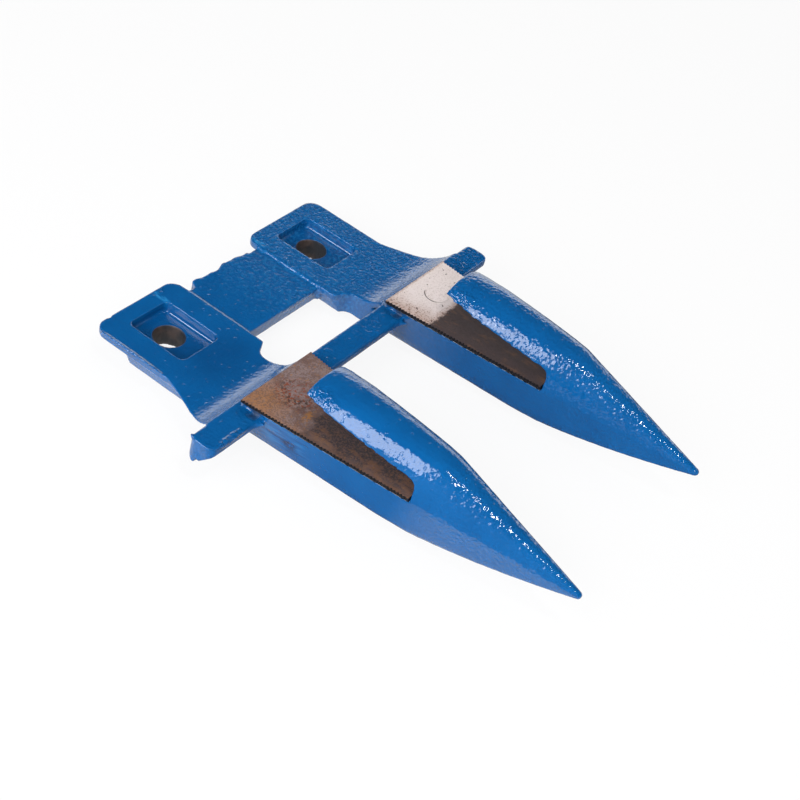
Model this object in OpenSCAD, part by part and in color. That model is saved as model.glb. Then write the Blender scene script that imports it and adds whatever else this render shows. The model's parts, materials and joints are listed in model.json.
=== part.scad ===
// Double mower knife guard: one iron casting with two fingers, two serrated ledger plates
// and the rivets that hold them. Millimetres, +Z up, the fingers point towards -Y.
// The origin is midway between the bolt holes, on the lower face of the bolt bosses, and
// heights are measured from that face.
// A reach is a distance ahead of the line through the bolt holes.

/* [Pitch and bolt holes] */
// Distance between the two fingers, and between the two bolt holes
pitch = 76.2; // [70:0.2:100]
// Diameter of each bolt hole
bolt_hole_d = 10.5; // [8:0.5:12]

/* [Lugs] */
// Width of each lug
lug_w = 38.4; // [34:0.2:44]
// Distance from the bolt holes to the rear end of the lugs
lug_rear = 16.5; // [15:0.5:24]
// Height of the bar seat, the flat top of the lugs
seat_h = 12.6; // [11:0.1:14]
// Thickness of the rim round each lug
rim_t = 3; // [2:0.2:4]
// Radius of the rear corners of the lugs
lug_corner_r = 5; // [1:0.5:8]
// How far each lug widens on its outer side where it meets the cross bar
lug_flare = 11; // [4:0.5:16]
// Reach at which the outer side of a lug starts to widen
flare_reach = 16.5; // [10:0.5:22]
// Thickness of the outer edge where the lug has widened
flare_t = 0.8; // [0.5:0.1:1.5]
// Reach at which the seat starts to curve up to the cross bar
ramp_reach = 29.5; // [26:0.5:34]
// Height of the lower face of the deep part under each lug
lug_belly_h = 3.9; // [2:0.1:5]
// Width of the lower face of the deep part under each lug
lug_belly_w = 31.6; // [26:0.2:34]

/* [Bolt pockets] */
// Width of the pocket in the top of each lug
pocket_w = 18; // [14:0.5:22]
// Distance from the bolt hole to the rear wall of its pocket
pocket_rear = 10; // [8:0.5:11]
// Distance from the bolt hole to the front wall of its pocket
pocket_front = 13.5; // [8:0.5:16]
// Depth of the pocket below the bar seat
pocket_depth = 4; // [2:0.2:5]
// Radius of the pocket corners
pocket_r = 2; // [0.5:0.5:4]
// Wall left round the pocket on the underside
pocket_wall = 2.6; // [2:0.2:3.4]
// Thickness of the pocket floor away from the bolt boss
floor_t = 3; // [2:0.2:4]
// Diameter of the round boss under each bolt hole
boss_d = 19; // [16:0.5:22]

/* [Web and window] */
// Step from the bar seat down to the top of the web between the lugs
web_step = 0.8; // [0.4:0.1:2.4]
// Thickness of the web
web_t = 5.4; // [4:0.1:6]
// Distance from the line of the bolt holes to the rear edge of the web
web_rear = 11.9; // [6:0.1:14]
// Height of the waves along the rough cast rear edge of the web
web_rough = 0.5; // [0:0.1:1]
// How far that edge falls back beside the lugs
web_nick = 1.8; // [0:0.1:3]
// Reach of the rear edge of the window
window_reach = 17.8; // [15:0.2:22]
// How far the window bays cut into the inner side of each lug
bay_depth = 6.2; // [2:0.2:7]
// Reach at which the bays start
bay_reach = 24.4; // [23:0.2:27]
// Radius of the bay corners
bay_r = 4.5; // [2:0.5:5]

/* [Cross bar] */
// How far the cross bar runs out past the axis of each finger
bar_overhang = 38.4; // [36:0.2:48]
// Reach of the rear face of the cross bar
bar_reach = 41.6; // [38:0.2:44]
// Width of the cross bar, front to back
bar_w = 9.6; // [7:0.2:12]
// Height of the top of the cross bar
bar_top = 18.6; // [16.6:0.1:20.6]
// Depth of the cross bar, top to bottom
bar_h = 9.8; // [8:0.2:11]
// Height of the upright front face of the cross bar
bar_front_h = 3.4; // [2.5:0.1:5]
// Distance from the rear face of the cross bar to its lowest line
bar_foot = 2.4; // [1.6:0.2:4]
// Radius of the bar ends, seen from above
bar_end_r = 3.5; // [1:0.5:4]
// Radius of the long edges of the cross bar
bar_edge_r = 1.1; // [0.5:0.1:1.2]

/* [Fingers] */
// Reach of the finger tips
tip_reach = 162.6; // [145:0.5:185]
// Height of the tips
tip_h = 17.9; // [13:0.1:20]
// Radius of the blunt tips
tip_r = 1.4; // [0.8:0.1:2.5]
// Height of the crest, the highest point of the lip, above the ledger plate
crest_rise = 14.4; // [13.4:0.1:18]
// Reach of the crest
crest_reach = 75; // [66:0.5:84]
// Reach of the square rear end of the lip
lip_reach = 61; // [60:0.2:64]
// Drop from the crest to the rear end of the lip
lip_drop = 1.2; // [0:0.1:3]
// Reach of the knee, where the crest line turns down to the tip
knee_reach = 110; // [106:0.5:118]
// Drop from the crest to the knee
knee_drop = 1.7; // [0.5:0.1:3]
// Height of the flat underside of a finger
belly_h = 2.4; // [0.5:0.1:4]
// Reach at which the flat underside of a finger starts to rise to the tip
belly_reach = 97; // [85:0.5:110]
// Width of the flat underside of a finger at its root
belly_w = 21; // [14:0.5:26]
// Radius of the small fillets between the fingers and the cross bar
root_r = 2.5; // [1:0.5:5]

/* [Knife slots] */
// Reach of the front end of the knife slot
slot_reach = 105; // [98:0.5:112]
// Height of the slot above the ledger plate at its front end
slot_front_h = 5.5; // [4.5:0.1:7]
// Height of the slot above the ledger plate at the rear end of the lip
slot_rear_h = 10.4; // [8:0.1:11]
// Radius of the top corner at the front end of the slot
slot_r = 3; // [1:0.5:4]

/* [Ledger plates] */
// Thickness of a ledger plate
ledger_t = 2.2; // [1.8:0.1:3.2]
// Reach of the rear edge of the ledger plates
ledger_reach = 43.8; // [43:0.2:48]
// Width of a ledger plate at its rear edge
ledger_rear_w = 35; // [30:0.5:40]
// Width of a ledger plate at its front edge
ledger_front_w = 23.2; // [18:0.2:28]
// How far the ledger seat stands above the cross bar
ledger_lift = 1.4; // [0.6:0.1:2]
// How far each serrated edge stands out past the finger below it
ledger_overhang = 0.9; // [0.4:0.1:1.6]
// Gap between the front edge of a ledger plate and the end of its slot
ledger_gap = 0.2; // [0.1:0.05:0.5]
// Pitch of the teeth along the serrated edges
tooth_pitch = 1.2; // [1:0.05:2.4]
// Depth of the teeth
tooth_depth = 0.55; // [0.3:0.05:0.9]
// Width of the bevel under each serrated edge
bevel_w = 1.3; // [0.8:0.1:2.5]
// Height of the plain edge above the bevel
bevel_land = 0.9; // [0.3:0.1:1.4]

/* [Ledger rivets] */
// Reach of the rivets
rivet_reach = 53.5; // [52:0.5:57]
// Diameter of the rivet shank
rivet_d = 5.6; // [4:0.2:7]
// Diameter of the flush countersunk heads, above and below
rivet_head_d = 8.4; // [7.6:0.2:9.6]
// Clearance between the shank and its holes
rivet_gap = 0.1; // [0.05:0.05:0.3]

/* [Hidden] */
$fn = 48;
paint = "#1456a4";
plate_steel = "#8a6a58";
rivet_steel = "#a89a92";
overlap = 1;
arc_steps = 6;
full_turn = 360;

axis_x = pitch / 2;
bar_front = bar_reach + bar_w;
ledger_seat = bar_top + ledger_lift;
ledger_top = ledger_seat + ledger_t;
ledger_front = slot_reach - ledger_gap;
crest_h = ledger_top + crest_rise;
root_half = ledger_rear_w / 2 - ledger_overhang;
nose_half = ledger_front_w / 2 - ledger_overhang;

// Finger sections: where they start, the height of the widest line and the shape of the curves
root_lead = 0.3;
side_rise = 0.9;
root_reach = ledger_reach - root_lead;
side_h = ledger_seat + side_rise;
belly_power = 1.5;
crest_round = 2.3;
crest_steps = 9;
corner_steps = 3;
corner_share = 0.74;
flat_share = 0.7;
shank_stations = 6;
nose_stations = 11;
tip_stations = 3;
tip_turn = 75;

// Lug sections: stations round the rear corners, along the widening sides and up the ramp
corner_stations = 5;
flare_stations = 5;
ramp_stations = 7;
rim_chamfer = 0.5;
flare_power = 1.15;
thin_lead = 2;
thin_run = 8;
lug_belly_rear = 1.5;
lug_belly_slope = 3;
lug_belly_front = root_reach + overlap;

// Rear edge of the web: two waves, in degrees for each millimetre, and the dip beside the lugs
web_bite = 4;
web_points = 60;
long_wave = 23;
short_wave = 51;
short_share = 0.6;
nick_w = 5;
nick_slope = 0.8;
bay_lip_r = 1;
bay_r_share = 0.7;

// Countersinks of the rivets, at 45 degrees where the ledger plate is thick enough
sink_land = 0.3;
sink_depth = min((rivet_head_d - rivet_d) / 2, ledger_t - sink_land);

function mix(a, b, t) = a + (b - a) * t;
function share(s, from, to) = min(1, max(0, (s - from) / (to - from)));
function unit(v) = v / norm(v);

// A corner of an outline, at q between p and w, as an arc of radius r
function round_corner(p, q, w, r) =
    r == 0 ? [q] :
    let (
        u = unit(p - q),
        v = unit(w - q),
        half = acos(u * v) / 2,
        mid = q + unit(u + v) * r / sin(half),
        a = q + u * r / tan(half) - mid,
        b = q + v * r / tan(half) - mid,
        from = atan2(a.y, a.x),
        sweep = (atan2(b.y, b.x) - from + 1.5 * full_turn) % full_turn - full_turn / 2
    )
    [for (i = [0 : arc_steps]) let (t = from + sweep * i / arc_steps)
        mid + r * [cos(t), sin(t)]];

// An outline from corners given as [x, y, radius]
function rounded(c) =
    let (n = len(c), p = [for (k = c) [k.x, k.y]])
    [for (i = [0 : n - 1]) each round_corner(p[(i + n - 1) % n], p[i], p[(i + 1) % n], c[i].z)];

function rounded_box(x0, y0, x1, y1, r) = rounded([[x0, y0, r], [x1, y0, r], [x1, y1, r], [x0, y1, r]]);

// Draws a side profile, given in Y and Z, across the width x0 to x1
module across(x0, x1) {
    translate([x0, 0, 0])
        rotate([90, 0, 90])
            linear_extrude(x1 - x0)
                children();
}

// A solid through a list of rings of points, closed by a flat face at each end
module loft(rings) {
    n = len(rings[0]);
    m = len(rings);
    sides = [for (k = [0 : m - 2], i = [0 : n - 1]) let (j = (i + 1) % n, a = k * n, b = a + n)
        each [[a + i, b + i, a + j], [a + j, b + i, b + j]]];
    polyhedron(
        points = [for (r = rings) each r],
        faces = concat(sides, [[for (i = [0 : n - 1]) i], [for (i = [n - 1 : -1 : 0]) (m - 1) * n + i]]));
}

module on_both_fingers() {
    for (side = [-1, 1])
        translate([side * axis_x, 0, 0])
            children();
}

// Half width of a finger at its widest line, at reach s
function finger_half(s) = s < slot_reach
    ? mix(root_half, nose_half, share(s, ledger_reach, slot_reach))
    : mix(nose_half, tip_r, share(s, slot_reach, tip_reach - tip_r));

// Height of the crest line at reach s: a low arch to the knee, then straight down to the tip
function crest(s) =
    s < crest_reach ? crest_h - lip_drop * pow((crest_reach - s) / (crest_reach - lip_reach), 2) :
    s < knee_reach ? crest_h - knee_drop * pow((s - crest_reach) / (knee_reach - crest_reach), 2) :
    mix(crest_h - knee_drop, tip_h + tip_r, share(s, knee_reach, tip_reach - tip_r));

// Height of the underside at reach s
function belly(s) =
    mix(belly_h, tip_h - tip_r, pow(share(s, belly_reach, tip_reach - tip_r), belly_power));

// Height of the widest line at reach s
function side_line(s) = mix(side_h, tip_h, share(s, slot_reach, tip_reach - tip_r));

// Right half of a finger section, from the flat underside round to the crest
function half_section(s) =
    let (
        w = finger_half(s),
        top = crest(s),
        low = belly(s),
        line = side_line(s),
        flat = w * belly_w / 2 / root_half,
        edge = [flat, low],
        side = mix([w, line], edge, corner_share),
        inner = [flat * flat_share, low]
    )
    concat(
        [for (i = [0 : corner_steps]) let (t = i / corner_steps)
            pow(1 - t, 2) * inner + 2 * t * (1 - t) * edge + t * t * side],
        [for (i = [0 : crest_steps]) let (a = 90 * i / crest_steps)
            [w * pow(cos(a), 2 / crest_round), line + (top - line) * pow(sin(a), 2 / crest_round)]]);

// Whole section as points in space, the right half and then the left half
function section(s, scale = 1, y = undef) =
    let (half = half_section(s), n = len(half), place = is_undef(y) ? -s : y)
    [each [for (p = half) [scale * p.x, place, tip_h + scale * (p.y - tip_h)]],
     each [for (i = [n - 2 : -1 : 0]) [-scale * half[i].x, place, tip_h + scale * (half[i].y - tip_h)]]];

// Finger before its slot is cut: sections joined from root to tip
module finger_loft() {
    last = tip_reach - tip_r;
    loft(concat(
        [for (i = [0 : shank_stations]) section(mix(root_reach, slot_reach, i / shank_stations))],
        [for (i = [1 : nose_stations]) section(mix(slot_reach, last, i / nose_stations))],
        [for (i = [1 : tip_stations]) let (a = tip_turn * i / tip_stations)
            section(last, cos(a), -last - tip_r * sin(a) / sin(tip_turn))]));
}

// Side profile of what the slot and the open throat above the ledger plate take away
module slot_profile() {
    front_top = ledger_top + slot_front_h;
    rear_top = ledger_top + slot_rear_h;
    clear = crest_h + overlap;
    polygon(rounded([
        [-root_reach + overlap, ledger_seat, 0],
        [-slot_reach, ledger_seat, 0],
        [-slot_reach, front_top, slot_r],
        [-lip_reach, rear_top, 0],
        [-lip_reach, clear, 0],
        [-root_reach + overlap, clear, 0]]));
}

module rivet_hole(from, to) {
    translate([0, -rivet_reach, from])
        cylinder(d = rivet_d + 2 * rivet_gap, h = to - from);
}

// Hole for a rivet through a finger, countersunk from below
module finger_rivet_hole() {
    rivet_hole(-overlap, ledger_seat + overlap);
    translate([0, -rivet_reach, belly_h - overlap])
        cylinder(d1 = rivet_head_d + 2 * (rivet_gap + overlap), d2 = rivet_d + 2 * rivet_gap,
            h = sink_depth + overlap);
}

// One finger with its slot and ledger seat
module finger() {
    reach = ledger_rear_w / 2 + overlap;
    difference() {
        finger_loft();
        across(-reach, reach) slot_profile();
    }
}

// Height of the top of a lug at reach s: the flat bar seat, then the curve up to the cross bar
function seat_line(s) =
    let (
        run = bar_reach - ramp_reach,
        rise = bar_top - seat_h,
        r = (run * run + rise * rise) / (2 * rise),
        d = min(run, max(0, s - ramp_reach))
    )
    seat_h + r - sqrt(r * r - d * d);

// Section of a lug at reach s, drawn in by a rear corner, as points in space; the outer side is +X
function lug_section(s, drawn = 0) =
    let (
        half = lug_w / 2 - drawn,
        wide = pow(share(s, flare_reach, bar_reach), flare_power),
        thin = share(s + thin_lead, flare_reach, flare_reach + thin_run),
        edge = mix(rim_t - rim_chamfer, flare_t, thin),
        out = half + lug_flare * wide,
        top = seat_line(s),
        low = top - rim_t
    )
    [[half - rim_chamfer, -s, low],
     [out, -s, top - edge],
     [out, -s, top],
     [-half, -s, top],
     [-half, -s, low + rim_chamfer],
     [-half + rim_chamfer, -s, low]];

// Top plate of a lug, from its rounded rear corners to the cross bar
module lug_plate() {
    r = lug_corner_r;
    last = bar_reach + bar_w / 3;
    loft(concat(
        [for (i = [0 : corner_stations]) let (a = 90 * i / corner_stations)
            lug_section(r * (1 - cos(a)) - lug_rear, r * (1 - sin(a)))],
        [for (i = [0 : flare_stations]) let (t = i / (flare_stations + 1))
            lug_section(mix(flare_reach, ramp_reach, t))],
        [for (i = [0 : ramp_stations]) lug_section(mix(ramp_reach, bar_reach, i / ramp_stations))],
        [lug_section(last)]));
}

// Deep part under a lug, with sloping sides and rear end, narrowing forward to the root of the finger
module lug_belly() {
    top = seat_h - rim_t / 2;
    upper = lug_w / 2 - 2 * rim_chamfer;
    far = lug_belly_front + overlap;
    intersection() {
        translate([0, lug_rear, 0])
            rotate([90, 0, 0])
                linear_extrude(lug_rear + lug_belly_front)
                    polygon([
                        [-lug_belly_w / 2, lug_belly_h],
                        [lug_belly_w / 2, lug_belly_h],
                        [upper, top],
                        [-upper, top]]);
        across(-lug_w, lug_w)
            polygon([
                [lug_belly_rear, 0],
                [lug_belly_rear + lug_belly_slope, top + overlap],
                [-far, top + overlap],
                [-far, 0]]);
        linear_extrude(top + overlap)
            polygon([
                [-lug_w / 2, lug_rear],
                [lug_w / 2, lug_rear],
                [lug_w / 2, -flare_reach],
                [belly_w / 2, -far],
                [-belly_w / 2, -far],
                [-lug_w / 2, -flare_reach]]);
    }
}

// Thick patch under the bolt pocket, and the round boss whose lower face is at height 0
module pocket_boss() {
    half = pocket_w / 2 + pocket_wall;
    low = seat_h - pocket_depth - floor_t;
    translate([0, 0, low])
        linear_extrude(seat_h - rim_t / 3 - low)
            polygon(rounded_box(-half, -pocket_front - pocket_wall, half, pocket_rear + pocket_wall,
                pocket_r + pocket_wall));
    cylinder(d = boss_d, h = low + floor_t / 2);
}

// One lug, with its outer side towards +X
module lug() {
    lug_plate();
    lug_belly();
    pocket_boss();
}

module bolt_pocket() {
    translate([0, 0, seat_h - pocket_depth])
        linear_extrude(pocket_depth + overlap)
            polygon(rounded_box(-pocket_w / 2, -pocket_front, pocket_w / 2, pocket_rear, pocket_r));
    translate([0, 0, -overlap])
        cylinder(d = bolt_hole_d, h = seat_h + overlap);
}

// Thin web between the lugs, running a little under them, with a wavy rear edge as it left the mould
module web() {
    gap = axis_x - lug_w / 2;
    half = gap + web_bite;
    edge = [for (i = [0 : web_points]) let (x = mix(-half, half, i / web_points))
        [x, web_rear + web_rough * (sin(long_wave * x) + short_share * sin(short_wave * x))
            - web_nick * share(abs(x), gap - nick_w, gap - nick_w + nick_slope)]];
    translate([0, 0, seat_h - web_step - web_t])
        linear_extrude(web_t)
            polygon(concat(edge, [[half, -window_reach - overlap], [-half, -window_reach - overlap]]));
}

// Window between the lugs, with a bay cut into the inner side of each
module window() {
    neck = axis_x - lug_w / 2;
    bay = neck + bay_depth;
    front = bar_reach + overlap / 2;
    turn = bay_reach + bay_depth / 2;
    r = min(bay_r, bay_r_share * bay_depth);
    translate([0, 0, -overlap])
        linear_extrude(bar_top + 2 * overlap)
            polygon(rounded([
                [-neck, -window_reach, 0],
                [-neck, -bay_reach, bay_lip_r],
                [-bay, -turn, r],
                [-bay, -front, r],
                [bay, -front, r],
                [bay, -turn, r],
                [neck, -bay_reach, bay_lip_r],
                [neck, -window_reach, 0]]));
}

// Cross bar: one section along X, with its ends rounded in plan
module cross_bar() {
    half = axis_x + bar_overhang;
    low = bar_top - bar_h;
    intersection() {
        across(-half, half)
            polygon(rounded([
                [-bar_reach, bar_top, bar_edge_r],
                [-bar_reach, low + bar_foot, bar_edge_r],
                [-bar_reach - bar_foot, low, bar_edge_r],
                [-bar_front, bar_top - bar_front_h, bar_edge_r],
                [-bar_front, bar_top, bar_edge_r]]));
        linear_extrude(bar_top + overlap)
            polygon(rounded_box(-half, -bar_front - overlap / 2,
                half, -bar_reach + overlap / 2, bar_end_r));
    }
}

// Small concave fillets where the sides of a finger leave the cross bar, fading out along its bevel
module root_fillets() {
    half = root_half - overlap;
    low = bar_top - bar_h;
    lean = (bar_w - bar_foot) / (bar_h - bar_front_h);
    for (side = [-1, 1])
        mirror([side < 0 ? 1 : 0, 0, 0])
            intersection() {
                translate([half, -bar_front, low])
                    linear_extrude(bar_h - overlap)
                        polygon(concat(
                            [[0, overlap], [root_r + overlap, overlap], [root_r + overlap, 0]],
                            [for (i = [1 : arc_steps]) let (a = 90 * i / arc_steps)
                                [overlap + root_r * (1 - sin(a)), -root_r * (1 - cos(a))]],
                            [[0, -root_r]]));
                across(0, half + root_r + 2 * overlap)
                    polygon([
                        [-bar_reach - bar_foot, low],
                        [-bar_front - bar_front_h * lean, bar_top],
                        [-bar_reach - bar_foot, bar_top]]);
            }
}

// Lugs and web, with the window and the bolt pockets cut
module lugs_and_web() {
    difference() {
        union() {
            translate([axis_x, 0, 0]) lug();
            translate([-axis_x, 0, 0]) mirror([1, 0, 0]) lug();
            web();
        }
        window();
        on_both_fingers() bolt_pocket();
    }
}

module guard_body() {
    color(paint)
        difference() {
            union() {
                lugs_and_web();
                cross_bar();
                on_both_fingers() {
                    finger();
                    root_fillets();
                }
            }
            on_both_fingers() finger_rivet_hole();
        }
}

// Plan of a ledger plate: straight ends and two serrated edges
module ledger_plan() {
    rear = ledger_rear_w / 2;
    front = ledger_front_w / 2;
    run = ledger_front - ledger_reach;
    count = floor(run / tooth_pitch - 0.5);
    start = (run - count * tooth_pitch) / 2;
    edge = [for (i = [0 : 2 * count]) let (s = start + i * tooth_pitch / 2)
        [mix(rear, front, s / run) - (i % 2 == 1 ? tooth_depth : 0), -ledger_reach - s]];
    right = concat([[rear, -ledger_reach]], edge, [[front, -ledger_front]]);
    n = len(right);
    polygon(concat(right, [for (i = [n - 1 : -1 : 0]) [-right[i].x, right[i].y]]));
}

// Wedge that bevels the underside of a ledger plate along one serrated edge
module ledger_bevel() {
    run = ledger_front - ledger_reach;
    lean = atan2((ledger_rear_w - ledger_front_w) / 2, run);
    rise = ledger_t - bevel_land;
    outside = overlap * rise / bevel_w;
    translate([ledger_rear_w / 2, -ledger_reach, 0])
        rotate([0, 0, -lean])
            translate([0, overlap, 0])
                rotate([90, 0, 0])
                    linear_extrude(run + 4 * overlap)
                        polygon([
                            [-bevel_w, 0],
                            [overlap, rise + outside],
                            [overlap, -overlap],
                            [-bevel_w, -overlap]]);
}

// One ledger plate on its seat, with the finger axis at X 0
module ledger_plate() {
    color(plate_steel)
        translate([0, 0, ledger_seat])
            difference() {
                linear_extrude(ledger_t) ledger_plan();
                ledger_bevel();
                mirror([1, 0, 0]) ledger_bevel();
                rivet_hole(-overlap, ledger_t + overlap);
                translate([0, -rivet_reach, ledger_t - sink_depth])
                    cylinder(d1 = rivet_d + 2 * rivet_gap, d2 = rivet_head_d + 2 * (rivet_gap + overlap),
                        h = sink_depth + overlap);
            }
}

module left_ledger_plate() {
    translate([-axis_x, 0, 0]) ledger_plate();
}

module right_ledger_plate() {
    translate([axis_x, 0, 0]) ledger_plate();
}

// Two rivets, flush with the ledger plates above and with the underside of the fingers
module ledger_rivets() {
    color(rivet_steel)
        on_both_fingers()
            translate([0, -rivet_reach, 0])
                rotate_extrude()
                    polygon([
                        [0, belly_h],
                        [rivet_head_d / 2, belly_h],
                        [rivet_d / 2, belly_h + sink_depth],
                        [rivet_d / 2, ledger_top - sink_depth],
                        [rivet_head_d / 2, ledger_top],
                        [0, ledger_top]]);
}

guard_body();
left_ledger_plate();
right_ledger_plate();
ledger_rivets();
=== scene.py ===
import json

import bpy
from mathutils import Matrix, Vector

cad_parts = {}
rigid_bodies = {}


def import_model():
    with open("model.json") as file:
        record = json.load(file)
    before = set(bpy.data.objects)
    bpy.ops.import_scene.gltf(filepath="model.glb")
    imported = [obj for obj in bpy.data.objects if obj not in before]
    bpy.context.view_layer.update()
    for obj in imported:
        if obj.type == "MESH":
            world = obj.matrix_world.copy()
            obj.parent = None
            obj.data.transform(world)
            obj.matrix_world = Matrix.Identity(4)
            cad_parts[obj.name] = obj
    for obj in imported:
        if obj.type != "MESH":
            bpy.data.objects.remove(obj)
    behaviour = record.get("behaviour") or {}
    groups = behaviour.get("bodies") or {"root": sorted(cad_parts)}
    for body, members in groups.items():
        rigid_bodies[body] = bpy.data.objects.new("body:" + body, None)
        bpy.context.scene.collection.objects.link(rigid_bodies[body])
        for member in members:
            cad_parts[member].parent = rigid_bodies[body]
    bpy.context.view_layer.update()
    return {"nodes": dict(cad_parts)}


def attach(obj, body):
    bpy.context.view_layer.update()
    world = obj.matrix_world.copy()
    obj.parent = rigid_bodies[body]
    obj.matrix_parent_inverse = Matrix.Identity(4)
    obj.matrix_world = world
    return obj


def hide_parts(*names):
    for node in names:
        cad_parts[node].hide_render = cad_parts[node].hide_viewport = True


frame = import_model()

mm = 0.001
fingerX = 38.1 * mm  # fingers and bolt holes stand this far left and right of the middle
print("frame loaded:", ", ".join(sorted(frame["nodes"])))


def pickOnly(piece):
    bpy.ops.object.select_all(action="DESELECT")
    piece.select_set(True)
    bpy.context.view_layer.objects.active = piece


def finishWith(piece, kind, **settings):
    pickOnly(piece)
    bpy.ops.object.modifier_add(type=kind)
    modifier = piece.modifiers[-1]
    for name, value in settings.items():
        setattr(modifier, name, value)
    bpy.ops.object.modifier_apply(modifier=modifier.name)


# a merged copy of a CAD node, free of the frame, to work on
def copyNode(node, name):
    pickOnly(frame["nodes"][node])
    bpy.ops.object.duplicate()
    piece = bpy.context.view_layer.objects.active
    bpy.ops.object.parent_clear(type="CLEAR")
    for key in [k for k in piece.keys() if k.startswith("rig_")]:
        del piece[key]
    piece.name = name
    piece.data.materials.clear()
    bpy.ops.object.mode_set(mode="EDIT")
    bpy.ops.mesh.select_all(action="SELECT")
    bpy.ops.mesh.remove_doubles(threshold=0.002 * mm)
    bpy.ops.object.mode_set(mode="OBJECT")
    return piece


# node helpers: sockets and plain numbers are both taken as inputs
def addNode(tree, kind, inputs, **settings):
    node = tree.nodes.new(kind)
    for name, value in settings.items():
        setattr(node, name, value)
    for name, value in inputs.items():
        if isinstance(value, bpy.types.NodeSocket):
            tree.links.new(value, node.inputs[name])
        else:
            node.inputs[name].default_value = value
    return node


def calc(tree, operation, *values):
    node = addNode(tree, "ShaderNodeMath", dict(enumerate(values)), operation=operation)
    return node.outputs[0]


# two masks taken together, or the stronger one of them
def both(tree, first, second):
    return calc(tree, "MULTIPLY", first, second)


def either(tree, first, second):
    return calc(tree, "MAXIMUM", first, second)


def blendColour(tree, factor, first, second):
    node = addNode(tree, "ShaderNodeMix", {0: factor, 6: first, 7: second}, data_type="RGBA")
    return node.outputs[2]


def fade(tree, value, low, high, start=0.0, end=1.0):
    node = addNode(tree, "ShaderNodeMapRange",
                   {"Value": value, "From Min": low, "From Max": high, "To Min": start, "To Max": end},
                   interpolation_type="SMOOTHSTEP")
    return node.outputs[0]


# full between the two middle edges, given in millimetres, and gone at the outer ones
def band(tree, value, edges, peak=1.0):
    outerLow, low, high, outerHigh = [edge * mm for edge in edges]
    return both(tree, fade(tree, value, outerLow, low), fade(tree, value, high, outerHigh, peak, 0))


def grain(tree, place, size, detail=2.0, rough=0.5):
    node = addNode(tree, "ShaderNodeTexNoise",
                   {"Vector": place, "Scale": 1 / size, "Detail": detail, "Roughness": rough})
    return node.outputs[0]


def stretched(tree, place, scale):
    node = addNode(tree, "ShaderNodeMapping", {"Vector": place, "Scale": scale})
    return node.outputs[0]


# distance from the middle of an oval patch given in millimetres, where 1 is its edge
def patchAt(tree, place, patch):
    centre, reach = patch
    node = addNode(tree, "ShaderNodeMapping",
                   {"Vector": place, "Location": [-c / r for c, r in zip(centre, reach)],
                    "Scale": [1 / (r * mm) for r in reach]})
    length = addNode(tree, "ShaderNodeVectorMath", {0: node.outputs[0]}, operation="LENGTH")
    return length.outputs["Value"]


def addBump(tree, height, depth, under=None):
    inputs = {"Height": height, "Strength": 1, "Distance": depth}
    if under is not None:
        inputs["Normal"] = under
    return addNode(tree, "ShaderNodeBump", inputs).outputs[0]


def startMaterial(name, **shader):
    material = bpy.data.materials.new(name)
    material.use_nodes = True
    tree = material.node_tree
    surface = tree.nodes["Principled BSDF"]
    for socket, value in shader.items():
        surface.inputs[socket].default_value = value
    place = tree.nodes.new("ShaderNodeTexCoord").outputs["Object"]
    axes = addNode(tree, "ShaderNodeSeparateXYZ", {0: place}).outputs
    return material, tree, surface, place, axes


def dress(piece, material):
    piece.data.materials.clear()
    piece.data.materials.append(material)


# the casting: every edge eased as it leaves the mould, and an uneven skin under the paint
casting = {
    "voxel": 0.46 * mm,
    "easing": 3,
    # foot of the pocket walls that face the softbox: where it is, and how far round it is eased
    "feet": (-29.1, 47.1),
    "footHeight": 8.5,
    "footAcross": (-2.4, 1),
    "footAlong": (-12, 8.5),
    "footUp": (-0.8, 2.4),
    "footEasing": 24,
    "most": 190000,  # triangles kept
    "waves": (6.5 * mm, 0.1 * mm),
    "pebbles": (2.1 * mm, 0.07 * mm),
    # right lug and web, where the sand was rougher, and how it sets in to the right and the rear
    "coarse": (1.7 * mm, 0.11 * mm),
    "coarseRight": (-22 * mm, 12 * mm),
    "coarseRear": (-36 * mm, 8 * mm),
    # where, how far round and which way the metal is pushed
    "nudges": [
        ((-76.5, -47.0, 14.0), 2.8, (0.35, 0, 0)),
        ((-76.4, -41.7, 18.4), 1.6, (0, 0.9, 0.3)),
        ((-76.3, -46.6, 9.2), 1.5, (0.2, 0, 0.6)),
        ((-50.0, 16.5, 12.0), 1.5, (0, -0.5, 0)),
        ((76.5, -46.0, 13.0), 3.0, (-0.4, 0, 0)),
        ((-55.4, -46.0, 19.4), 4.0, (1.5, 0, -0.5)),
        ((20.8, -46.0, 19.4), 4.0, (1.5, 0, -0.5)),
    ],
}


# a wider fillet at the foot of the pocket walls
def easeFeet(piece):
    left, right = casting["footAcross"]
    front, rear = casting["footAlong"]
    low, high = casting["footUp"]
    foot = piece.vertex_groups.new(name="pocketFoot")
    for v in piece.data.vertices:
        along, up = v.co.y / mm, v.co.z / mm - casting["footHeight"]
        for x in casting["feet"]:
            if left < v.co.x / mm - x < right and front < along < rear and low < up < high:
                foot.add([v.index], 1, "REPLACE")
    finishWith(piece, "SMOOTH", factor=0.5, iterations=casting["footEasing"], vertex_group="pocketFoot")


def markRoughSand(piece):
    startX, widthX = casting["coarseRight"]
    startY, widthY = casting["coarseRear"]
    rough = piece.vertex_groups.new(name="roughSand")
    for v in piece.data.vertices:
        rear = min(1, max(0, (v.co.y - startY) / widthY))
        right = min(1, max(0, (v.co.x - startX) / widthX))
        if rear * right > 0:
            rough.add([v.index], rear * right, "REPLACE")


def addSkin(piece, name, group=""):
    size, height = casting[name]
    skin = bpy.data.textures.new(name, "CLOUDS")
    skin.noise_scale = size
    skin.noise_depth = 1
    finishWith(piece, "DISPLACE", texture=skin, texture_coords="LOCAL", strength=height,
               mid_level=1, vertex_group=group)


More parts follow.
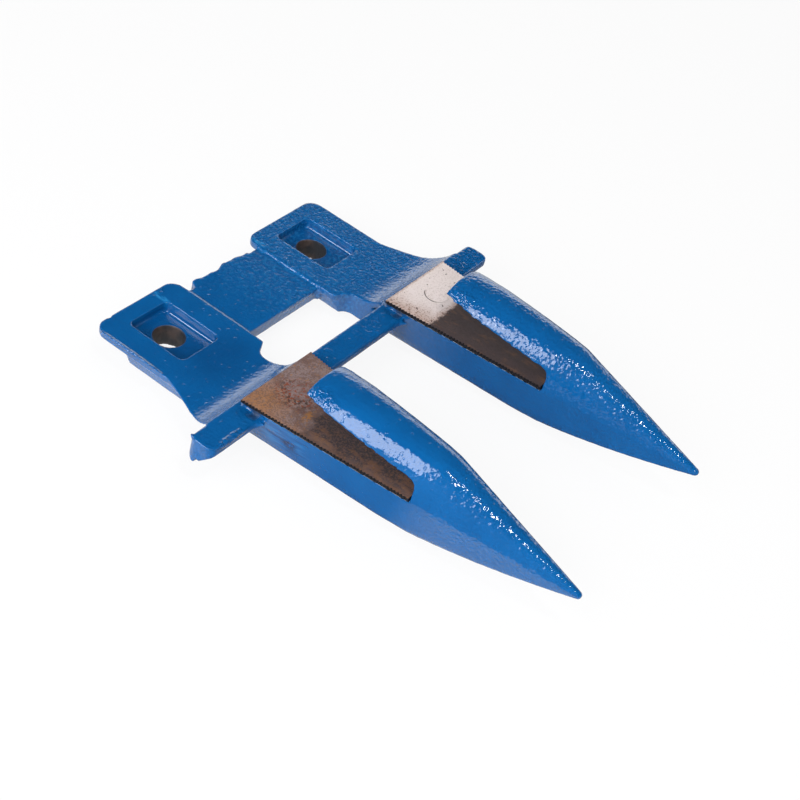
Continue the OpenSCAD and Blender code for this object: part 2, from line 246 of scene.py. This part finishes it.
def nudgeMetal(piece):
    pickOnly(piece)
    for centre, reach, move in casting["nudges"]:
        bpy.ops.object.mode_set(mode="EDIT")
        bpy.ops.mesh.select_mode(type="VERT")
        bpy.ops.mesh.select_all(action="DESELECT")
        bpy.ops.object.mode_set(mode="OBJECT")
        middle = Vector(centre) * mm
        nearest = min(piece.data.vertices, key=lambda v: (v.co - middle).length)
        nearest.select = True
        bpy.ops.object.mode_set(mode="EDIT")
        bpy.ops.transform.translate(value=Vector(move) * mm, use_proportional_edit=True,
                                    proportional_edit_falloff="SMOOTH", proportional_size=reach * mm)
    bpy.ops.object.mode_set(mode="OBJECT")


def makeCasting():
    piece = copyNode("guard_body", "castGuard")
    finishWith(piece, "REMESH", mode="VOXEL", voxel_size=casting["voxel"])
    finishWith(piece, "SMOOTH", factor=0.5, iterations=casting["easing"])
    easeFeet(piece)
    markRoughSand(piece)
    addSkin(piece, "waves")
    addSkin(piece, "pebbles")
    addSkin(piece, "coarse", "roughSand")
    nudgeMetal(piece)
    triangles = sum(len(f.vertices) - 2 for f in piece.data.polygons)
    finishWith(piece, "DECIMATE", ratio=min(1, casting["most"] / triangles))
    pickOnly(piece)
    bpy.ops.object.shade_smooth()
    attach(piece, "root")
    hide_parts("guard_body")
    print("casting:", triangles, "triangles, kept", len(piece.data.polygons))
    return piece


castGuard = makeCasting()


# gloss blue paint over a rough casting
paint = {
    "blue": (0.0025, 0.098, 0.3, 1),
    "dark": (0.0022, 0.088, 0.275, 1),
    "thin": (0.02, 0.24, 0.55, 1),  # pale blue, for painted highlights on the peel peaks and the run ridges, and for lighter streaks on the lugs
    "navy": (0.003, 0.02, 0.06, 1),
    "deep": (0.001, 0.026, 0.1, 1),
    "rust": (0.055, 0.036, 0.03, 1),
    # dark grime in the bolt holes, and painted shade on the seats under the ledger plates
    "grimeAndShade": (0.006, 0.008, 0.012, 1),
    "peel": 1.25 * mm,
    "peelDepth": 0.25 * mm,
    "runDepth": 0.3 * mm,
    "chip": 1.1 * mm,
    "chipDepth": 0.6 * mm,
    "fine": 0.5 * mm,
    "fineDepth": 0.02 * mm,
    "gloss": 0.09,
    # where one finish gives way to the next, along x or y
    "rightLug": ((-20 * mm, 14 * mm), (-38 * mm, -29 * mm)),
    "noses": (-120 * mm, -100 * mm),
    "halves": (-20 * mm, 20 * mm),
    "bareBore": (5.4 * mm, 5.9 * mm),  # distance from the middle of a bolt hole
    "bar": (-53, -50, -44, -42),
    "seatsAlong": (-105.2, -104.6, -43.9, -43.5),
    "seatsUp": (19.55, 19.8, 20.4, 20.7),
    # oval patches: middle and reach
    "thinSpots": (((-29.2, 12.4, 12.6), (1.4, 4.4, 2)), ((21.0, 11.5, 12.6), (1.5, 4.2, 3))),
    "middle": ((-37, -20, 12), (19, 17, 12)),
    "pockets": (((-38.1, 0, 8.5), (16, 16, 3.6)), ((38.1, 0, 8.5), (16, 16, 3.6))),
    "scuff": ((-50.6, -61, 12.4), (3, 3.6, 2.4)),
    "runs": ((-53, -60, 12), (6, 16, 10)),
    "chips": (((-46.6, -66, 33.4), (4, 8, 4)),
              ((29.6, -66, 33.4), (4, 8, 4)),
              ((-67, -50.6, 18), (9, 1.8, 2)),
              ((-57.4, 0, 12.4), (1.4, 20, 1.3)),
              ((9, -17.3, 10.5), (11, 1.3, 1.3))),
    "feet": (((-29.6, -1.8, 9), (2.4, 20, 2.4)), ((46.6, -1.8, 9), (2.4, 20, 2.4))),
    # painted shade in the corners where the bar meets the fingers
    "shaded": (((-55, -47.5, 19.3), (2.6, 6, 1.3)), ((21.2, -47.5, 19.3), (2.6, 6, 1.3))),
}


# masks and patterns that the colour and the bumps share
def paintMasks(tree, place, axes):
    lugX, lugY = paint["rightLug"]
    side = calc(tree, "SUBTRACT", calc(tree, "ABSOLUTE", axes["X"]), fingerX)
    fromHole = calc(tree, "SQRT", calc(tree, "ADD", calc(tree, "MULTIPLY", side, side),
                                       calc(tree, "MULTIPLY", axes["Y"], axes["Y"])))
    return {
        "lug": both(tree, fade(tree, axes["X"], *lugX), fade(tree, axes["Y"], *lugY)),
        "peel": grain(tree, place, paint["peel"], 0.6),
        "ripple": grain(tree, stretched(tree, place, (1, 0.2, 1.1)), 1.9 * mm, 2),
        "running": fade(tree, patchAt(tree, place, paint["runs"]), 0.5, 1, 1, 0),
        "bare": fade(tree, fromHole, *paint["bareBore"], 1, 0),
        "shaded": [fade(tree, patchAt(tree, place, corner), 0.6, 1.1, 0.9, 0) for corner in paint["shaded"]],
    }


def paintColour(tree, place, axes, masks):
    patchy = grain(tree, place, 12 * mm, 3)
    colour = blendColour(tree, fade(tree, patchy, 0.3, 0.65), paint["dark"], paint["blue"])
    # deeper blue on the middle of the left lug, and painted shade in the pockets
    shown = fade(tree, patchAt(tree, place, paint["middle"]), 0.2, 1.1, 0.3, 0)
    colour = blendColour(tree, shown, colour, paint["deep"])
    for pocket in paint["pockets"]:
        shown = fade(tree, patchAt(tree, place, pocket), 0.85, 1, 0.3, 0)
        colour = blendColour(tree, shown, colour, paint["deep"])
    # painted highlight: lighter on the peaks of the orange peel on the right lug
    peakHighlight = both(tree, fade(tree, masks["peel"], 0.46, 0.66, 0, 0.24), masks["lug"])
    colour = blendColour(tree, peakHighlight, colour, paint["thin"])
    # lighter streaks at the rear corners of the lugs
    streaks = grain(tree, stretched(tree, place, (1, 0.3, 1)), 0.9 * mm, 2)
    for spot in paint["thinSpots"]:
        shown = both(tree, fade(tree, patchAt(tree, place, spot), 0.4, 1.1, 0.85, 0),
                     fade(tree, streaks, 0.38, 0.58))
        colour = blendColour(tree, shown, colour, paint["thin"])
    # runs in the paint at the root of the left finger, with painted shade in the hollows and a painted
    # highlight on the ridges
    runShade = both(tree, fade(tree, masks["ripple"], 0.34, 0.48, 0.6, 0), masks["running"])
    colour = blendColour(tree, runShade, colour, paint["deep"])
    runHighlight = both(tree, fade(tree, masks["ripple"], 0.52, 0.66, 0, 0.3), masks["running"])
    colour = blendColour(tree, runHighlight, colour, paint["thin"])
    # a dark scuff on the outer side of the left finger
    marks = both(tree, fade(tree, patchAt(tree, place, paint["scuff"]), 0.2, 1.1, 1, 0),
                 fade(tree, grain(tree, place, 1.3 * mm, 2), 0.34, 0.48))
    colour = blendColour(tree, marks, colour, paint["deep"])
    # bare rusty walls inside the bolt holes
    rusted = fade(tree, grain(tree, place, 8 * mm, 2), 0.38, 0.62)
    stain = blendColour(tree, rusted, paint["grimeAndShade"], paint["rust"])
    colour = blendColour(tree, masks["bare"], colour, stain)
    # painted shade, with some grime, on the seats under the ledger plates
    seatShade = both(tree, band(tree, axes["Z"], paint["seatsUp"]), band(tree, axes["Y"], paint["seatsAlong"]))
    colour = blendColour(tree, seatShade, colour, paint["grimeAndShade"])
    # painted shade: dark navy in the corners where the bar meets the fingers, under the rear corners of the
    # plates
    for corner in masks["shaded"]:
        colour = blendColour(tree, corner, colour, paint["navy"])
    return colour


def paintBumps(tree, place, axes, masks):
    # orange peel: light on the left, heavier on the right half, the bar and the noses
    nosed = fade(tree, axes["Y"], *paint["noses"], 1, 0)
    heavy = both(tree, fade(tree, axes["X"], -25 * mm, 15 * mm, 0.6, 1.15),
                 fade(tree, masks["lug"], 0, 1, 1, 0.78))
    heavy = either(tree, heavy, both(tree, nosed, fade(tree, axes["X"], *paint["halves"], 1.25, 1.5)))
    heavy = either(tree, heavy, band(tree, axes["Y"], paint["bar"], 0.9))
    # smooth paint gathered at the foot of the pocket walls
    calm = calc(tree, "MINIMUM", *[fade(tree, patchAt(tree, place, foot), 0.6, 1, 0.12, 1)
                                   for foot in paint["feet"]])
    nibs = fade(tree, grain(tree, place, 1.5 * mm, 0), 0.74, 0.82, 0, 0.25)
    peel = calc(tree, "MULTIPLY_ADD", masks["peel"], both(tree, heavy, calm), nibs)
    bumps = addBump(tree, peel, paint["peelDepth"])
    runs = both(tree, masks["ripple"], masks["running"])
    bumps = addBump(tree, runs, paint["runDepth"], bumps)
    # paint chipped along the rear of the lips and the edges of the bar, the left lug and the web
    chips = 0
    for patch in paint["chips"]:
        chips = either(tree, chips, fade(tree, patchAt(tree, place, patch), 0.5, 1, 1, 0))
    chips = both(tree, chips, grain(tree, place, paint["chip"], 1))
    bumps = addBump(tree, chips, paint["chipDepth"], bumps)
    # fine grit, heaviest on the right lug
    grit = both(tree, fade(tree, axes["Y"], *paint["noses"], 1.5, 0),
                fade(tree, axes["X"], *paint["halves"], 0.4, 1))
    grit = both(tree, either(tree, fade(tree, masks["lug"], 0, 1, 1, 5), grit), calm)
    fine = both(tree, grain(tree, place, paint["fine"], 1), grit)
    return addBump(tree, fine, paint["fineDepth"], bumps)


def makePaint():
    material, tree, surface, place, axes = startMaterial("bluePaint", IOR=1.65)
    masks = paintMasks(tree, place, axes)
    tree.links.new(paintColour(tree, place, axes, masks), surface.inputs["Base Color"])
    tree.links.new(paintBumps(tree, place, axes, masks), surface.inputs["Normal"])
    # duller in the bolt holes and the shaded corners, a little so on the right lug
    dull = masks["bare"]
    for corner in masks["shaded"]:
        dull = either(tree, dull, corner)
    satin = calc(tree, "MULTIPLY_ADD", masks["lug"], 0.1, paint["gloss"])
    tree.links.new(calc(tree, "MULTIPLY_ADD", dull, 0.6, satin), surface.inputs["Roughness"])
    return material


dress(castGuard, makePaint())
print("paint done")


# ledger plates: the left one rusted all over, the right one bright at the rear
leftLedger = {
    "orange": (0.32, 0.138, 0.042, 1),
    "brown": (0.145, 0.087, 0.075, 1),
    "grey": (0.22, 0.158, 0.15, 1),
    "grains": (0.11, 0.062, 0.052, 1),
    "speck": (0.21, 0.042, 0.014, 1),
    "worn": (0.135, 0.06, 0.028, 1),
    "scale": (0.024, 0.019, 0.021, 1),
    "pit": (0.035, 0.02, 0.017, 1),
    # painted shade for the flanks of the teeth
    "edge": (0.012, 0.011, 0.014, 1),
    "corner": ((-52, -47, 22.2), (10, 10, 20)),
    "rivet": ((-40, -54, 22.2), (7, 8, 20)),
    "spot": ((-45, -62.4, 22.2), (3.4, 1.6, 20)),
}
rightLedger = {
    "bright": (0.76, 0.67, 0.635, 1),
    "pink": (0.42, 0.28, 0.225, 1),
    "grains": (0.24, 0.13, 0.09, 1),
    "pit": (0.07, 0.04, 0.03, 1),
    "scale": (0.04, 0.026, 0.026, 1),
    "spot": (0.2, 0.095, 0.045, 1),
    "arc": ((38.1, -53.5, 22.2), (4.35, 4.35, 200)),
}
plateTaper = 5.9 / 61  # how fast the serrated edges draw in towards the front
plateRear = (17.5 * mm, 43.8 * mm)  # half the width of a plate at its rear end, and how far ahead that is


# painted shade: dark on upright and downward faces, such as the flanks of the teeth
def uprightShade(tree):
    normal = tree.nodes.new("ShaderNodeNewGeometry").outputs["Normal"]
    facing = addNode(tree, "ShaderNodeSeparateXYZ", {0: normal}).outputs["Z"]
    return fade(tree, facing, 0.2, 0.8, 1, 0)


# distance in from the outer serrated edge, on the -X side of a plate
def fromTeeth(tree, axes, middleX):
    half, ahead = plateRear
    edge = calc(tree, "MULTIPLY_ADD", axes["Y"], plateTaper, axes["X"])
    return calc(tree, "SUBTRACT", edge, middleX - half - ahead * plateTaper)


def makeLeftLedger():
    material, tree, surface, place, axes = startMaterial("leftLedgerSteel")
    mottle = grain(tree, place, 5 * mm, 5, 0.7)
    sand = grain(tree, place, 0.55 * mm, 2, 0.6)
    fleck = grain(tree, place, 1.0 * mm, 3, 0.6)
    inward = fromTeeth(tree, axes, -fingerX)
    colour = blendColour(tree, fade(tree, mottle, 0.4, 0.54), leftLedger["brown"], leftLedger["grey"])
    # orange at the rear corner and along the teeth
    warm = either(tree, fade(tree, patchAt(tree, place, leftLedger["corner"]), 0.3, 1.5, 0.8, 0),
                  fade(tree, calc(tree, "MULTIPLY_ADD", mottle, 6 * mm, inward), 3 * mm, 7 * mm, 0.6, 0))
    warm = both(tree, warm, fade(tree, fleck, 0.3, 0.55, 0.5, 1))
    colour = blendColour(tree, warm, colour, leftLedger["orange"])
    # dark mill scale ahead of the rivet, less of it along the teeth
    edge = calc(tree, "MULTIPLY_ADD", grain(tree, place, 7 * mm, 4, 0.6), 12 * mm, axes["Y"])
    dark = both(tree, fade(tree, edge, -60 * mm, -56.5 * mm, 0.95, 0),
                fade(tree, calc(tree, "MULTIPLY_ADD", mottle, -4 * mm, inward), -1.5 * mm, 2 * mm, 0.7, 1))
    worn = fade(tree, grain(tree, stretched(tree, place, (1, 0.45, 1)), 3.4 * mm, 5, 0.65), 0.48, 0.64)
    scale = blendColour(tree, worn, leftLedger["scale"], leftLedger["worn"])
    colour = blendColour(tree, dark, colour, scale)
    # sandy grains, and orange flecks that the scale half hides
    grains = both(tree, fade(tree, sand, 0.46, 0.6), 0.75)
    colour = blendColour(tree, grains, colour, leftLedger["grains"])
    flecks = both(tree, fade(tree, grain(tree, place, 0.8 * mm, 3, 0.7), 0.55, 0.66, 0, 0.7),
                  fade(tree, dark, 0, 1, 1, 0.45))
    colour = blendColour(tree, flecks, colour, leftLedger["orange"])
    # red rust and pits round the rivet, and one orange spot ahead of it
    cluster = fade(tree, patchAt(tree, place, leftLedger["rivet"]), 0.5, 1.3, 1, 0)
    specks = both(tree, fade(tree, fleck, 0.52, 0.57), cluster)
    colour = blendColour(tree, specks, colour, leftLedger["speck"])
    spot = both(tree, fade(tree, patchAt(tree, place, leftLedger["spot"]), 0.5, 1.1, 1, 0),
                fade(tree, fleck, 0.42, 0.54))
    colour = blendColour(tree, spot, colour, leftLedger["orange"])
    pits = both(tree, fade(tree, grain(tree, place, 1.3 * mm, 3, 0.6), 0.51, 0.57), cluster)
    colour = blendColour(tree, both(tree, pits, 0.85), colour, leftLedger["pit"])
    # painted shade on the upright faces, the flanks of the teeth
    colour = blendColour(tree, uprightShade(tree), colour, leftLedger["edge"])
    tree.links.new(colour, surface.inputs["Base Color"])
    tree.links.new(fade(tree, mottle, 0.3, 0.7, 0.45, 0.75), surface.inputs["Roughness"])
    tree.links.new(addBump(tree, fleck, 0.1 * mm), surface.inputs["Normal"])
    return material


def makeRightLedger():
    material, tree, surface, place, axes = startMaterial("rightLedgerSteel")
    mottle = grain(tree, place, 5 * mm, 5, 0.7)
    sand = grain(tree, place, 0.55 * mm, 2, 0.6)
    inward = fromTeeth(tree, axes, fingerX)
    # stained along the teeth, along the rear edge and short of the mill scale
    alongTeeth = calc(tree, "MULTIPLY_ADD", mottle, -9 * mm, inward)
    shortOfScale = calc(tree, "MULTIPLY_ADD", mottle, 6 * mm, axes["Y"])
    stained = either(tree, fade(tree, axes["Y"], -44.9 * mm, -43.9 * mm, 0, 0.8),
                     fade(tree, shortOfScale, -58.5 * mm, -55.5 * mm, 0.9, 0))
    stained = either(tree, fade(tree, alongTeeth, -5 * mm, 6 * mm, 1, 0), stained)
    colour = blendColour(tree, both(tree, stained, 0.75), rightLedger["bright"], rightLedger["pink"])
    grains = both(tree, fade(tree, sand, 0.5, 0.64), fade(tree, stained, 0, 1, 0.2, 1))
    colour = blendColour(tree, grains, colour, rightLedger["grains"])
    pits = fade(tree, grain(tree, place, 1.7 * mm, 2), 0.67, 0.72)
    colour = blendColour(tree, pits, colour, rightLedger["pit"])
    # the rivet's gap, open on its outer side only
    ring = patchAt(tree, place, rightLedger["arc"])
    gap = both(tree, fade(tree, ring, 0.84, 0.92), fade(tree, ring, 1.02, 1.08, 1, 0))
    outer = calc(tree, "MULTIPLY_ADD", axes["Y"], -0.35, axes["X"])
    arc = both(tree, gap, fade(tree, outer, 53.0 * mm, 54.4 * mm, 1, 0))
    colour = blendColour(tree, arc, colour, rightLedger["pit"])
    # dark mill scale under the lip, with a quick ragged change at its rear end
    edge = calc(tree, "MULTIPLY_ADD", grain(tree, place, 1.6 * mm, 4, 0.7), 3.6 * mm, axes["Y"])
    dark = fade(tree, edge, -60.4 * mm, -58.9 * mm, 0.96, 0)
    colour = blendColour(tree, dark, colour, rightLedger["scale"])
    rubbed = grain(tree, stretched(tree, place, (1, 0.4, 1)), 2.6 * mm, 5, 0.7)
    worn = both(tree, fade(tree, rubbed, 0.52, 0.68), fade(tree, inward, 1 * mm, 5 * mm, 0.75, 0.5))
    colour = blendColour(tree, both(tree, dark, worn), colour, rightLedger["spot"])
    # painted shade on the upright faces, the flanks of the teeth
    colour = blendColour(tree, uprightShade(tree), colour, leftLedger["edge"])
    tree.links.new(colour, surface.inputs["Base Color"])
    tree.links.new(fade(tree, mottle, 0.3, 0.7, 0.4, 0.6), surface.inputs["Roughness"])
    tree.links.new(addBump(tree, sand, 0.05 * mm), surface.inputs["Normal"])
    return material


dress(frame["nodes"]["left_ledger_plate"], makeLeftLedger())
dress(frame["nodes"]["right_ledger_plate"], makeRightLedger())


# the left rivet as rusty as its plate, the right one as bright
def makeRivets():
    material, tree, surface, place, axes = startMaterial("rivetSteel", Roughness=0.55)
    mottle = grain(tree, place, 2.6 * mm, 4, 0.7)
    fleck = grain(tree, place, 1.0 * mm, 3, 0.6)
    sand = grain(tree, place, 0.55 * mm, 2, 0.6)
    rusty = blendColour(tree, fade(tree, mottle, 0.4, 0.6), leftLedger["brown"], leftLedger["grey"])
    grains = both(tree, fade(tree, sand, 0.48, 0.62), 0.6)
    rusty = blendColour(tree, grains, rusty, leftLedger["grains"])
    rusty = blendColour(tree, fade(tree, fleck, 0.54, 0.61), rusty, leftLedger["speck"])
    grains = fade(tree, sand, 0.5, 0.64, 0, 0.3)
    clean = blendColour(tree, grains, rightLedger["bright"], rightLedger["grains"])
    colour = blendColour(tree, fade(tree, axes["X"], -5 * mm, 5 * mm), rusty, clean)
    tree.links.new(colour, surface.inputs["Base Color"])
    tree.links.new(addBump(tree, fleck, 0.08 * mm), surface.inputs["Normal"])
    return material


dress(frame["nodes"]["ledger_rivets"], makeRivets())
print("ledger plates and rivets done")


# white floor that keeps a soft shadow; in reflections it shows a painted shadow, darker ahead of the cross
# bar, and a painted bright strip beside the left nose
floorLook = {
    "size": 12,
    "height": -0.2 * mm,
    "colour": (0.93, 0.93, 0.93, 1),
    "glow": 0.9,
    "mirrored": 0.95,
    # painted shadow seen in reflections ahead of the cross bar, and the brightness behind it
    "ahead": 0.1,
    "behind": 1.0,
    "change": (-78 * mm, -18 * mm),  # from ahead to behind, along y
    # a painted bright strip on the floor beside the left nose, seen only in reflections
    "paintedBrightStrip": 0.7,
    "stripEnd": (-114 * mm, -90 * mm),
    "stripSide": (18 * mm, 23 * mm),
}


def makeFloor():
    bpy.ops.mesh.primitive_plane_add(size=floorLook["size"], location=(0, 0, floorLook["height"]))
    floor = bpy.context.view_layer.objects.active
    floor.name = "floor"
    material = bpy.data.materials.new("paleFloor")
    material.use_nodes = True
    tree = material.node_tree
    tree.nodes.clear()
    matte = addNode(tree, "ShaderNodeBsdfDiffuse", {"Color": floorLook["colour"]})
    rays = tree.nodes.new("ShaderNodeLightPath").outputs
    seen = either(tree, rays["Is Camera Ray"], rays["Is Transmission Ray"])
    share = either(tree, both(tree, seen, floorLook["glow"]),
                   both(tree, rays["Is Glossy Ray"], floorLook["mirrored"]))
    place = tree.nodes.new("ShaderNodeTexCoord").outputs["Object"]
    axes = addNode(tree, "ShaderNodeSeparateXYZ", {0: place}).outputs
    beside = calc(tree, "ABSOLUTE", calc(tree, "ADD", axes["X"], fingerX))
    # painted bright strip beside the left nose, seen only in reflections
    paintedBrightStrip = both(tree, fade(tree, axes["Y"], *floorLook["stripEnd"], floorLook["paintedBrightStrip"], 0),
                 fade(tree, beside, *floorLook["stripSide"], 1, 0))
    # painted shadow in reflections: darker ahead of the cross bar, bright behind it
    paintedFloorShadow = fade(tree, axes["Y"], *floorLook["change"], floorLook["ahead"], floorLook["behind"])
    bright = either(tree, seen, either(tree, paintedFloorShadow, paintedBrightStrip))
    white = addNode(tree, "ShaderNodeEmission", {"Color": (1, 1, 1, 1), "Strength": bright})
    mixed = addNode(tree, "ShaderNodeMixShader", {0: share, 1: matte.outputs[0], 2: white.outputs[0]})
    out = tree.nodes.new("ShaderNodeOutputMaterial")
    tree.links.new(mixed.outputs[0], out.inputs["Surface"])
    floor.data.materials.append(material)


makeFloor()

# studio: a softbox on the left, a panel behind it that only draws bright lines on the fillets,
# a small lamp overhead and two fills that leave no glints
lamps = {
    "leftSoftbox": {"from": (-0.8, 0.18, 0.573), "far": 0.7, "size": (0.32, 0.54), "power": 3.1,
                    "colour": (0.91, 0.93, 1.0), "glints": True, "lights": True},
    "rearStrip": {"from": (-0.625, 0.493, 0.603), "far": 0.72, "size": (0.2, 0.2), "power": 1.5,
                  "colour": (0.91, 0.93, 1.0), "glints": True, "lights": False},
    "topLamp": {"from": (-0.25, -0.30, 0.92), "far": 0.9, "size": (0.08, 0.08), "power": 1.4,
                "colour": (1, 1, 1), "glints": True, "lights": True},
    "broadFill": {"from": (0.4, -0.25, 0.88), "far": 1.2, "size": (1.4, 1.4), "power": 5.0,
                  "colour": (1, 1, 1), "glints": False, "lights": True},
    "sideFill": {"from": (-0.83, -0.28, 0.48), "far": 1.2, "size": (1.0, 0.6), "power": 10.5,
                 "colour": (1, 1, 1), "glints": False, "lights": True},
}
middle = Vector((0, -65 * mm, 15 * mm))  # what the lamps point at


def hangLamps():
    for name, lamp in lamps.items():
        towards = Vector(lamp["from"]).normalized()
        bpy.ops.object.light_add(type="AREA", location=middle + towards * lamp["far"])
        light = bpy.context.view_layer.objects.active
        light.name = name
        light.rotation_euler = towards.to_track_quat("Z", "Y").to_euler()
        light.data.shape = "RECTANGLE"
        light.data.size, light.data.size_y = lamp["size"]
        light.data.energy = lamp["power"]
        light.data.color = lamp["colour"]
        light.visible_glossy = lamp["glints"]
        light.visible_diffuse = lamp["lights"]


hangLamps()

# a white backdrop behind the part, dark overhead and behind the camera
sky = {
    "white": 1.8,
    "dark": 0.2,
    "change": (-0.1, 0.7),  # from dark to white, along x
    "ceiling": 0.03,
    "rim": (0.1, 0.5),  # from the backdrop to the ceiling, along z
}


def makeSky():
    world = bpy.data.worlds.new("studio")
    bpy.context.scene.world = world
    world.use_nodes = True
    tree = world.node_tree
    around = tree.nodes.new("ShaderNodeTexCoord").outputs["Generated"]
    towards = addNode(tree, "ShaderNodeSeparateXYZ", {0: around}).outputs
    backdrop = both(tree, fade(tree, towards["X"], *sky["change"], sky["dark"], sky["white"]),
                    fade(tree, towards["Z"], *sky["rim"], 1, 0))
    level = either(tree, backdrop, sky["ceiling"])
    seen = tree.nodes.new("ShaderNodeLightPath").outputs["Is Camera Ray"]
    background = tree.nodes["Background"]
    background.inputs["Color"].default_value = (1, 1, 1, 1)
    tree.links.new(either(tree, level, seen), background.inputs["Strength"])


makeSky()
bpy.context.scene.view_settings.view_transform = "Standard"
print("floor and lamps done")

# camera where the photograph was taken from
cameraLook = {
    "place": (-0.3614, -0.2398, 0.3533),
    "right": (0.5792, -0.7855, 0.2182),
    "up": (0.4444, 0.5287, 0.7232),
    "lens": 71.345,
}


def placeCamera():
    bpy.ops.object.camera_add()
    camera = bpy.context.view_layer.objects.active
    right = Vector(cameraLook["right"]).normalized()
    up = Vector(cameraLook["up"])
    up = (up - right * up.dot(right)).normalized()
    back = right.cross(up)
    turn = Matrix((right, up, back)).transposed().to_4x4()
    camera.matrix_world = Matrix.Translation(cameraLook["place"]) @ turn
    camera.data.sensor_width = 36
    camera.data.lens = cameraLook["lens"]
    camera.data.clip_start = 0.01
    bpy.context.scene.camera = camera


placeCamera()
print("camera placed")
